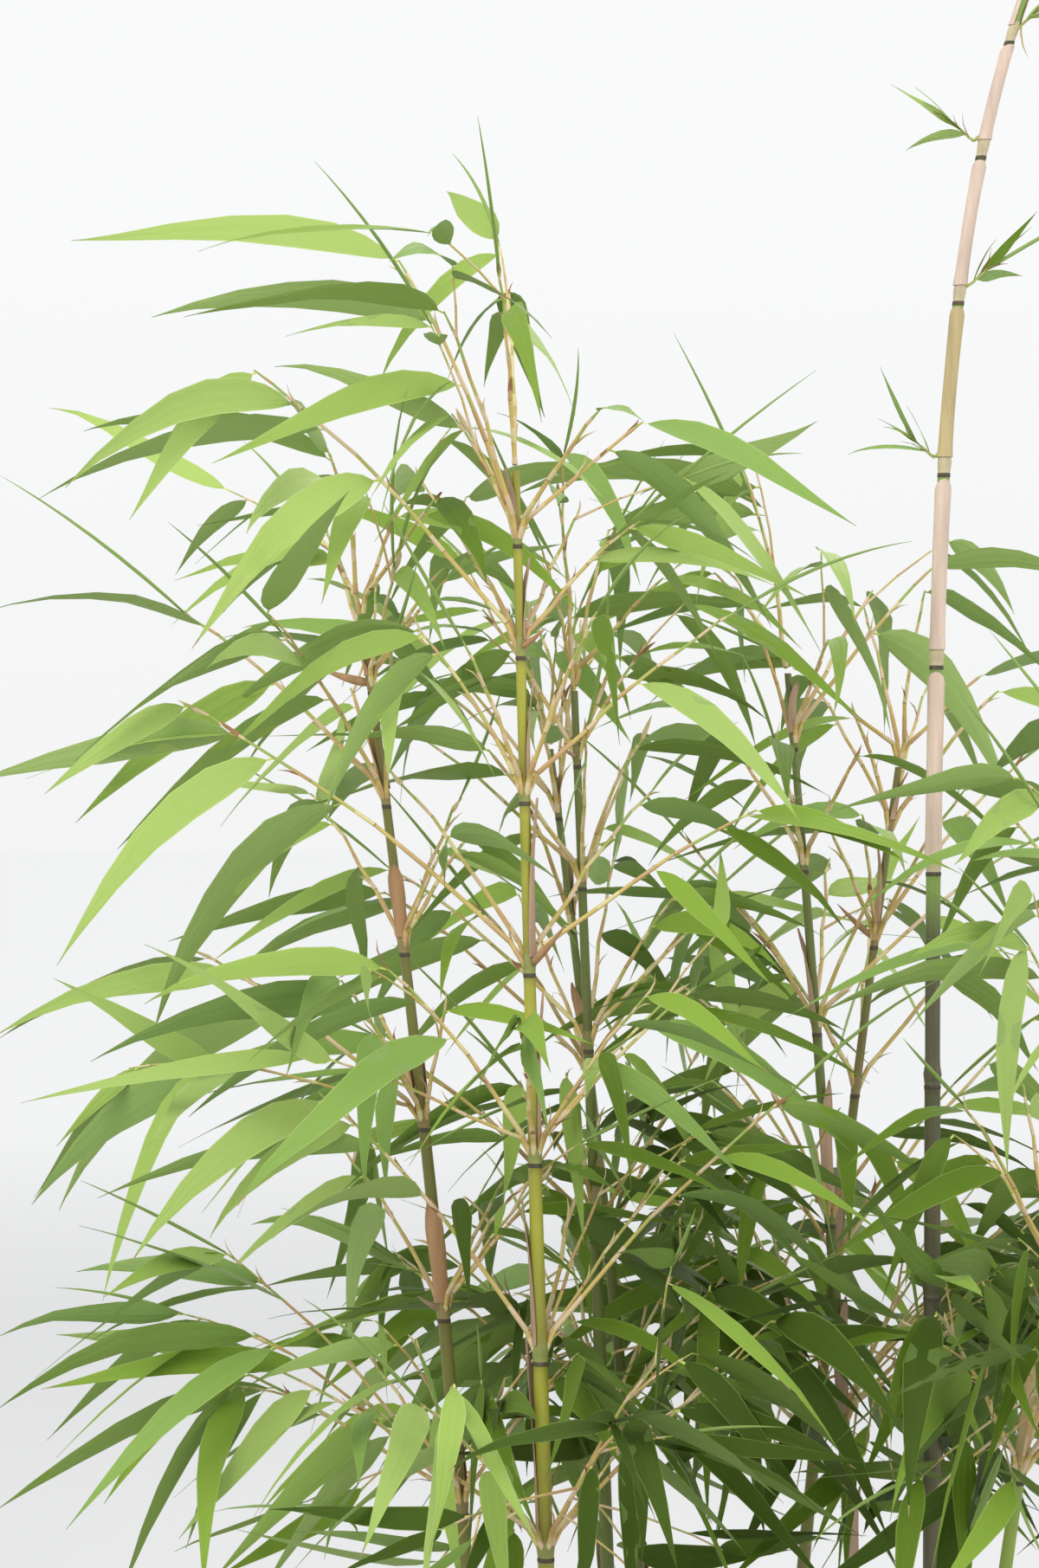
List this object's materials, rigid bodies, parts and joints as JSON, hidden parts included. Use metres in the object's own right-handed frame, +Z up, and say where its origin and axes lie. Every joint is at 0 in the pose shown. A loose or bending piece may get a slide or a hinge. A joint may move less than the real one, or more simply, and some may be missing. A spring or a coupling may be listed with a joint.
{
  "type": "potted bamboo",
  "caption": "Clump-forming fine-leaved bamboo in a plain round dark pot: arching canes with fans of thin branches, long narrow green leaves and one tall bare new shoot",
  "frame": {"origin": "centre of the pot's flat underside, on the surface that the pot stands on", "axes": "+Z up along the pot's axis, +X towards the plant's right side where the tall new shoot stands, +Y towards its back, so the front faces -Y"},
  "size_m": [0.7544, 0.6664, 1.4394],
  "materials": {
    "pot_plastic": "matt charcoal moulded plastic with a faint grain",
    "potting_soil": "dark brown bark-based potting mix, granular and dry on top",
    "cane": "olive to yellow-green smooth cane with dark rings, pale collars and papery sheaths",
    "foliage": "satin mid green leaves with fine parallel veins and a pale margin, on tan twigs"
  },
  "bodies": {
    "root": {"culm_back": "cane", "culm_back_left": "cane", "culm_back_right": "cane", "culm_centre": "cane", "culm_front": "cane", "culm_left": "cane", "culm_right": "cane", "culm_shoot": "cane", "foliage_back_1": "foliage", "foliage_back_2": "foliage", "foliage_back_3": "foliage", "foliage_back_4": "foliage", "foliage_back_5": "foliage", "foliage_back_6": "foliage", "foliage_back_left_1": "foliage", "foliage_back_left_2": "foliage", "foliage_back_left_3": "foliage", "foliage_back_left_4": "foliage", "foliage_back_left_5": "foliage", "foliage_back_left_6": "foliage", "foliage_back_right_1": "foliage", "foliage_back_right_2": "foliage", "foliage_back_right_3": "foliage", "foliage_back_right_4": "foliage", "foliage_back_right_5": "foliage", "foliage_back_right_6": "foliage", "foliage_centre_1": "foliage", "foliage_centre_2": "foliage", "foliage_centre_3": "foliage", "foliage_centre_4": "foliage", "foliage_centre_5": "foliage", "foliage_centre_6": "foliage", "foliage_front_1": "foliage", "foliage_front_2": "foliage", "foliage_front_3": "foliage", "foliage_front_4": "foliage", "foliage_front_5": "foliage", "foliage_front_6": "foliage", "foliage_front_7": "foliage", "foliage_front_8": "foliage", "foliage_left_1": "foliage", "foliage_left_2": "foliage", "foliage_left_3": "foliage", "foliage_left_4": "foliage", "foliage_left_5": "foliage", "foliage_left_6": "foliage", "foliage_left_7": "foliage", "foliage_right_1": "foliage", "foliage_right_2": "foliage", "foliage_right_3": "foliage", "foliage_right_4": "foliage", "foliage_right_5": "foliage", "pot": "pot_plastic", "soil": "potting_soil", "tuft_1": "foliage", "tuft_2": "foliage", "tuft_3": "foliage", "tuft_4": "foliage", "tuft_5": "foliage"}
  },
  "joints": []
}
